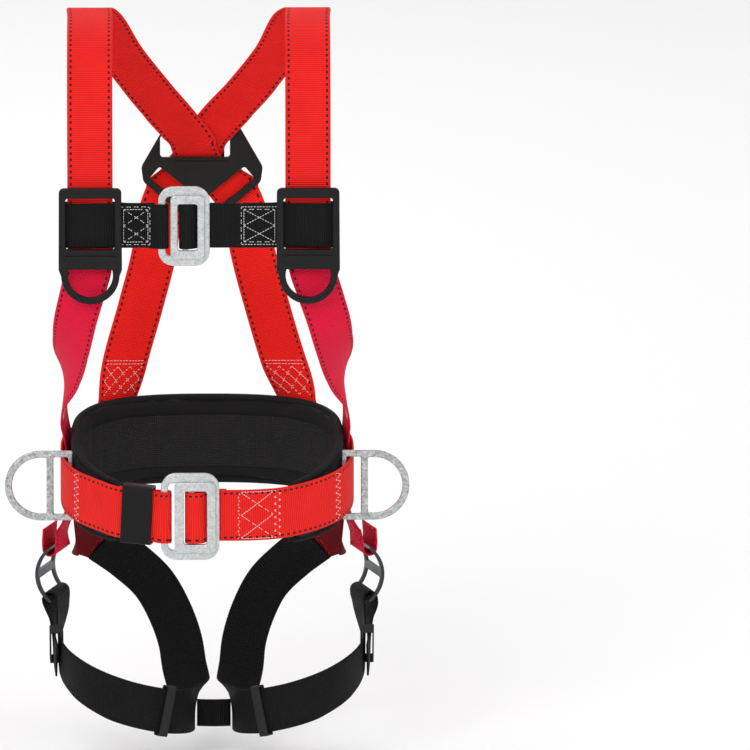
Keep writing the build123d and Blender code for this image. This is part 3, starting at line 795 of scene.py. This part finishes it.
def box_runs(strap, start, stop, half, lift, crosses=0, double=False):
    """A sewn box between two distances along a strap, with that many crosses inside."""
    runs = []
    for inset in (0.0, 2.6) if double else (0.0,):
        low, high, wide = start + inset, stop - inset, half - inset
        corners = [(low, -wide), (high, -wide), (high, wide), (low, wide), (low, -wide)]
        for one, other in chain(corners):
            runs += lay(strap, one, other, lift)
    for k in range(crosses):
        low = -half + 2.6 + (2 * half - 5.2) * k / crosses
        high = -half + 2.6 + (2 * half - 5.2) * (k + 1) / crosses
        for a, b in ((low, high), (high, low)):
            runs += lay(strap, (start + 2.6, a), (stop - 2.6, b), lift)
    return runs


def zigzag(strap, start, stop, low, high, teeth, lift):
    """A zigzag whose teeth run along the strap from one across distance to the other."""
    steps = [low + (high - low) * k / teeth for k in range(teeth + 1)]
    places = [(start if k % 2 else stop, a) for k, a in enumerate(steps)]
    return [run for one, other in chain(places) for run in lay(strap, one, other, lift)]


def sewn_face(strap, far, toward):
    """The lift that puts thread on the face that looks toward a direction."""
    row = min(strap.rows, key=lambda r: abs(r[0] - far))
    return THREAD_LIFT if row[3].dot(Vector(toward)) > 0 else -THREAD_LIFT


print("stitch rows are laid", THREAD_LIFT, "mm off the face")

# %% Sew the chest straps and the belt's front
OUT = (0, -1, 0)
for tag, spans in {"r": (-82.5, -49.0), "l": (38.0, 71.5)}.items():
    strap = straps[f"chest_strap_{tag}"]
    ends = sorted(strap.nearest(x, CHEST_Y, CHEST_Z, after=100.0) for x in spans)
    lift = sewn_face(strap, sum(ends) / 2, OUT)
    runs = box_runs(strap, *ends, 19.0, lift, crosses=2, double=True)
    sew(f"chest_box_{tag}", runs, "chest_assembly", thread=0.36, pitch=2.6)
belt = straps["belt_l"]
marks = [belt.nearest(x, -115, -10) for x in (76.0, 69.5, 38.5, 31.5)]
lift = sewn_face(belt, marks[1], OUT)
runs = zigzag(belt, marks[0], marks[1] - 1.2, -24, 24, 14, lift)
runs += zigzag(belt, marks[2] + 1.2, marks[3], -24, 24, 14, lift)
for low, high in ((-23.0, 0.0), (0.0, 23.0)):
    for a, b in ((low, high), (high, low)):
        runs += lay(belt, (marks[1], a), (marks[2], b), lift)
for a in (-23.6, 23.6):
    runs += lay(belt, (marks[1], a), (marks[2], a), lift)
sew("belt_cross", runs, "harness", thread=0.36, pitch=2.6)
print("runs in the belt's cross:", len(runs))

# %% Sew the belt at its rings and the back straps
for tag, side in SIDES.items():
    belt = straps[f"belt_{tag}"]
    start, stop = (belt.nearest(3.0 + side * x, y, -4) for x, y in ((133.5, -64), (129.0, -75)))
    lift = sewn_face(belt, start, (side, -0.3, 0))
    runs = zigzag(belt, start, start + 8.5, -24, 24, 14, lift)
    sew(f"belt_ring_seam_{tag}", runs, "harness", thread=0.36, pitch=2.6)
    strap = straps[f"back_strap_{tag}"]
    start, stop = (strap.nearest(side * x, y, z) for x, y, z in ((80, 100.5, 107), (88, 97, 70)))
    for face, lift in (("front", sewn_face(strap, start, OUT)),
                       ("rear", sewn_face(strap, start, (0, 1, 0)))):
        runs = lay(strap, (start, -18), (start, 18), lift)
        runs += lay(strap, (start + 3.4, -18), (start + 3.4, 18), lift)
        edges = [start + 6 + (stop - start - 6) * k / 4 for k in range(5)]
        for k, (low, high) in enumerate(zip(edges, edges[1:])):
            runs += zigzag(strap, *((low, high) if k % 2 else (high, low)), -18, 18, 6, lift)
        sew(f"back_box_{tag}_{face}", runs, "harness", thread=0.36, pitch=2.8)

# %% Sew the sides, the hips and the ring's loop
for tag, side in SIDES.items():
    strap = straps[f"side_strap_{tag}"]
    end = strap.rows[-1][0]
    lift = sewn_face(strap, end - 8.0, (side, 0.3, 0))
    sew(f"side_end_box_{tag}", box_runs(strap, end - 17.0, end - 2.5, 19.0, lift, crosses=2),
        "harness", red_thread)
    low, high = (strap.nearest(centre_x(z) + side * 140.0, 0.0, z) for z in (92.0, 70.0))
    for face, toward in (("out", (side, 0, 0)), ("in", (-side, 0, 0))):
        lift = sewn_face(strap, low, toward)
        runs = box_runs(strap, *sorted((low, high)), 17.0, lift, crosses=3)
        sew(f"side_box_{tag}_{face}", runs, "harness", thread=0.34, pitch=2.6)
    strap = straps[f"hip_tab_{tag}"]
    for face, lift in (("one", THREAD_LIFT), ("two", -THREAD_LIFT)):
        runs = box_runs(strap, 1.5, 21.0, 19.0, lift, crosses=2)
        sew(f"hip_box_{tag}_{face}", runs, "harness", red_thread)
    belt = straps[f"belt_{tag}"]
    lift = sewn_face(belt, 8.0, (0, 1, 0))
    sew(f"belt_joint_{tag}", zigzag(belt, 3.0, 11.0, -23, 23, 16, lift), "harness",
        red_thread)
strap = straps["dorsal_loop"]
end = strap.rows[-1][0]
runs = box_runs(strap, end - 13.0, end - 2.0, 18.5, sewn_face(strap, end - 6.0, (0, 1, 0)),
                crosses=3)
sew("dorsal_box", runs, "harness", thread=0.36, pitch=2.6)

# %% [markdown]
# ## Hard parts
#
# Buckles and D-rings are pressed or forged steel with a dull zinc coat: the crystals show as a
# fine mottle, brighter and darker. The plates are moulded plastic with a fine grain. Their shapes
# are already exact in the loaded frame, so they are kept and only given a finish.


# %% Metal and plastic finishes
def zinc_finish(name, light, dark, grain, roughness):
    zinc = Finish(name)
    crystals = zinc.node("ShaderNodeTexVoronoi", {}, {"Vector": zinc.place(), "Scale": grain}, 1)
    tone = zinc.parts(crystals)[0]
    cloud = zinc.noise(140.0, 5.0)
    shade = (tone * 0.55 + cloud * 0.75).sum("SUBTRACT", 0.12)
    zinc.set(Base_Color=zinc.mix(shade, (*dark, 1), (*light, 1)), Metallic=0.9)
    zinc.set(Roughness=tone * 0.18 + cloud * 0.12 + (roughness - 0.12))
    zinc.bump(tone * 0.6 + zinc.noise(900.0, 3.0), 0.00012, 0.6)
    return zinc.material


def moulded(name, light, dark, roughness, grain=1400.0, depth=0.00008, gloss=0.3):
    plastic = Finish(name)
    pebble = plastic.noise(grain, 2.0)
    scuff = plastic.noise(45.0, 6.0)
    plastic.set(Base_Color=plastic.mix(scuff, (*dark, 1), (*light, 1)), Specular_IOR_Level=gloss)
    plastic.set(Roughness=scuff * 0.22 + (roughness - 0.11))
    plastic.bump(pebble, depth, 0.6)
    return plastic.material


hard = {
    "chest_buckle_": zinc_finish("buckle zinc", (0.74, 0.76, 0.76), (0.40, 0.42, 0.43), 700.0,
                                 0.36),
    "side_d_ring": zinc_finish("pebbled zinc", (0.72, 0.74, 0.74), (0.13, 0.14, 0.145), 620.0,
                               0.40),
    "chest_plate": moulded("chest plate plastic", (0.0075, 0.0075, 0.008), (0.003, 0.003, 0.003),
                           0.34, gloss=0.22),
    "dorsal_plate": moulded("dorsal plate plastic", (0.014, 0.013, 0.012), (0.006, 0.0055, 0.0055),
                            0.42, gloss=0.25),
    "leg_buckle": moulded("slate coating", (0.014, 0.021, 0.028), (0.005, 0.008, 0.011), 0.36,
                          gloss=0.5),
    "hip_keeper": moulded("keeper rubber", (0.020, 0.020, 0.022), (0.010, 0.010, 0.011), 0.60,
                          900.0, 0.0001, gloss=0.25),
    "belt_keeper": moulded("belt keeper band", (0.005, 0.005, 0.0055), (0.0015, 0.0015, 0.0015),
                           0.32, 800.0, 0.0001, gloss=0.2),
}
same = {"waist_buckle_": "chest_buckle_", "crotch_keeper": "hip_keeper",
        "dorsal_d_ring": "side_d_ring"}
for name, part in nodes.items():
    if part.hide_render or name == "lumbar_pad":
        continue
    kind = next(key for key in (*hard, *same) if name.startswith(key))
    part.data.materials.clear()
    part.data.materials.append(hard[same.get(kind, kind)])
print("hard finishes:", len(hard))

# %% [markdown]
# ## The lumbar pad
#
# A foam pad covered in air mesh wraps the back of the waist. A bevelled slab would look like
# wood, so its cover is blown up a little by a cloth simulation: the mesh is remade in small even
# squares, air presses it outwards for twenty frames, and no point may move more than a few
# millimetres, so the belt and straps still fit.

# %% Pad finishes
PAD_ENDS = (33.0, 323.0)
WAIST_RADIUS = 0.118
WAIST_MIDDLE = 0.003


def mesh_fabric(name, light, dark, pitch, depth):
    cloth = Finish(name)
    x, y, z = cloth.parts(cloth.place())
    round_waist = (x - WAIST_MIDDLE).sum("ARCTAN2", y) * WAIST_RADIUS
    first = ((round_waist + z) * (math.tau / pitch)).sum("SINE")
    second = ((round_waist - z) * (math.tau / pitch)).sum("SINE")
    height = first * second * 0.5 + 0.5
    lint = cloth.noise(60.0, 4.0)
    # The colour follows the mesh's height as well as the bump: its hollows are painted darker,
    # painted shade, and the lint noise adds random tone.
    cloth.set(Base_Color=cloth.mix(height * 0.7 + lint * 0.3, (*dark, 1), (*light, 1)))
    cloth.set(Roughness=lint * 0.1 + 0.78, Specular_IOR_Level=0.2)
    cloth.bump(height, depth, 0.9)
    return cloth.material


air_mesh = mesh_fabric("air mesh", (0.036, 0.036, 0.038), (0.0015, 0.0015, 0.0015), 0.0042, 0.0009)
rim_cloth = mesh_fabric("rim cloth", (0.013, 0.013, 0.014), (0.006, 0.006, 0.0065), 0.0012, 0.0002)
print("pad finishes:", air_mesh.name, "and", rim_cloth.name)


# %% Where the pad's edges run
def pad_edges(angle):
    middle = (PAD_HALF[0] - 5.5, PAD_HALF[1] - 5.5)
    front = -ring_point(angle, *middle)[1] / middle[1]
    return 54.0 - 27.9 * front - 11.9 * front**2, -29.0 - 11.0 * front - 3.0 * front**2


def pad_place(angle, inset, height):
    x, y = ring_point(angle, PAD_HALF[0] - inset, PAD_HALF[1] - inset)
    return Vector((x, y, height)) * MM


def pad_angle(k, count):
    return PAD_ENDS[0] + 1.5 + (PAD_ENDS[1] - PAD_ENDS[0] - 3.0) * k / count


print("pad edges at the back:", [round(z, 1) for z in pad_edges(180.0)])


# %% Blow up the pad's cover
COVER_PIECES = 80
AIR_FRAMES = 20


def lumbar_cover():
    shape = bmesh.new()
    rows = []
    for k in range(COVER_PIECES + 1):
        angle = pad_angle(k, COVER_PIECES)
        upper, lower = pad_edges(angle)
        upper, lower = upper - 1.6, lower + 1.6
        corners = [(2.2, upper), (2.2, lower), (8.8, lower), (8.8, upper)]
        rows.append([shape.verts.new(pad_place(angle, inset, z)) for inset, z in corners])
    for a, b in zip(rows, rows[1:]):
        for k in range(4):
            shape.faces.new((a[k], a[k - 1], b[k - 1], b[k]))
    shape.faces.new(rows[0])
    shape.faces.new(rows[-1])
    bmesh.ops.recalc_face_normals(shape, faces=shape.faces)
    mesh = bpy.data.meshes.new("lumbar_cover")
    shape.to_mesh(mesh)
    cover = bpy.data.objects.new("lumbar_cover", mesh)
    bpy.context.scene.collection.objects.link(cover)
    remesh = cover.modifiers.new("even squares", "REMESH")
    remesh.mode = "VOXEL"
    remesh.voxel_size = 0.004
    remesh.use_smooth_shade = True
    return cover


def bake_modifiers(piece):
    evaluated = piece.evaluated_get(bpy.context.evaluated_depsgraph_get())
    mesh = bpy.data.meshes.new_from_object(evaluated)
    piece.modifiers.clear()
    piece.data = mesh


def inflate(cover, inward, outward):
    """Presses the cover out with air, and keeps each point within its room."""
    start = [v.co.copy() for v in cover.data.vertices]
    cloth = cover.modifiers.new("cloth", "CLOTH")
    cloth.settings.use_pressure = True
    cloth.settings.uniform_pressure_force = 4.0
    cloth.settings.effector_weights.gravity = 0.0
    for step in range(1, AIR_FRAMES + 1):
        bpy.context.scene.frame_set(step)
    bake_modifiers(cover)
    for vertex, rest in zip(cover.data.vertices, start):
        away = Vector((rest.x - WAIST_MIDDLE, rest.y, 0)).normalized()
        moved = vertex.co - rest
        room = outward if moved.dot(away) > 0 else inward
        if moved.length > room:
            moved = moved * (room / moved.length)
        vertex.co = rest + moved
    bpy.context.scene.frame_set(1)


cover = lumbar_cover()
bake_modifiers(cover)
inflate(cover, 0.0032, 0.0012)
relax = cover.modifiers.new("even out", "SMOOTH")
relax.factor, relax.iterations = 0.5, 3
finer = cover.modifiers.new("finer", "SUBSURF")
finer.levels = finer.render_levels = 1
bake_modifiers(cover)
cover.data.shade_smooth()
cover.data.materials.append(air_mesh)
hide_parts("lumbar_pad")
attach(cover, "harness")
print("pad cover:", len(cover.data.polygons), "faces")


# %% [markdown]
# ## The pad's rim
#
# The pad's edge is finished with a smooth band sewn over the mesh and a rolled binding. A band at
# a fixed distance would float or sink, because the cover is blown up, so each of its points is
# found with a ray from inside the waist.

# %% Rim bands and binding
cover_tree = BVHTree.FromObject(cover, bpy.context.evaluated_depsgraph_get())


def on_cover(angle, height, lift, inside=True):
    """The point of the cover at an angle and height, lifted off it."""
    inner = pad_place(angle, 34.0 if inside else -20.0, height)
    outer = pad_place(angle, 5.5, height)
    ray = (outer - inner).normalized()
    hit = cover_tree.ray_cast(inner, ray)[0]
    return (hit if hit else outer) - ray * (lift * MM)


def band(name, angles, span, lift, material, inside=True):
    """A thin closed band on the cover; span gives its two heights at an angle."""
    shape = bmesh.new()
    rows = []
    for angle in angles:
        low, high = span(angle)
        heights = [low + (high - low) * k / 5 for k in range(6)]
        proud = [on_cover(angle, z, lift if 0 < k < 5 else 0.15, inside)
                 for k, z in enumerate(heights)]
        sunk = [on_cover(angle, z, -0.8, inside) for z in reversed(heights)]
        rows.append([shape.verts.new(p) for p in proud + sunk])
    for a, b in zip(rows, rows[1:]):
        for k in range(12):
            shape.faces.new((a[k], a[k - 1], b[k - 1], b[k]))
    shape.faces.new(rows[0])
    shape.faces.new(rows[-1])
    bmesh.ops.recalc_face_normals(shape, faces=shape.faces)
    return finish_piece(name, shape, material)


def finish_piece(name, shape, material, body="harness"):
    mesh = bpy.data.meshes.new(name)
    shape.to_mesh(mesh)
    mesh.shade_smooth()
    mesh.materials.append(material)
    piece = bpy.data.objects.new(name, mesh)
    bpy.context.scene.collection.objects.link(piece)
    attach(piece, body)
    return piece


def cord_round(name, path, radius, material, flat=1.0):
    """A closed tube along a loop of points, as rolled binding."""
    shape = bmesh.new()
    rings = []
    count = len(path)
    for k, point in enumerate(path):
        ahead = (path[(k + 1) % count] - path[k - 1]).normalized()
        away = Vector((point.x - WAIST_MIDDLE, point.y, 0)).normalized()
        away = (away - ahead * away.dot(ahead)).normalized()
        beside = ahead.cross(away)
        turned = [math.tau * j / 10 for j in range(10)]
        spokes = [away * math.cos(t) + beside * (math.sin(t) * flat) for t in turned]
        rings.append([shape.verts.new(point + spoke * radius * MM) for spoke in spokes])
    for k in range(count):
        a, b = rings[k], rings[(k + 1) % count]
        for j in range(10):
            shape.faces.new((a[j], a[j - 1], b[j - 1], b[j]))
    bmesh.ops.recalc_face_normals(shape, faces=shape.faces)
    return finish_piece(name, shape, material)


print("rays that hit nothing fall back on the pad's plain curve")

# %% Make the rim
RIM_PIECES = 140
angles = [pad_angle(k, RIM_PIECES) for k in range(RIM_PIECES + 1)]
band("pad_upper_rim", angles, lambda a: (pad_edges(a)[0] - 20.0, pad_edges(a)[0] - 6.0), 0.9,
     rim_cloth)
band("pad_lower_rim", angles, lambda a: (pad_edges(a)[1] + 6.0, pad_edges(a)[1] + 18.0), 0.9,
     rim_cloth)
over = [pad_place(a, 5.5, pad_edges(a)[0] - 3.6) for a in angles]
under = [pad_place(a, 5.5, pad_edges(a)[1] + 3.6) for a in reversed(angles)]
CORNER_ROWS = 8
end = [over[-1].lerp(under[0], k / CORNER_ROWS) for k in range(1, CORNER_ROWS)]
begin = [under[-1].lerp(over[0], k / CORNER_ROWS) for k in range(1, CORNER_ROWS)]
cord_round("pad_binding", over + end + under + begin, 4.0, rim_cloth, flat=0.95)
print("pad trims made")

# %% [markdown]
# ## Size
#
# The woven and blown-up pieces may stand a little proud of the parts, but no more.
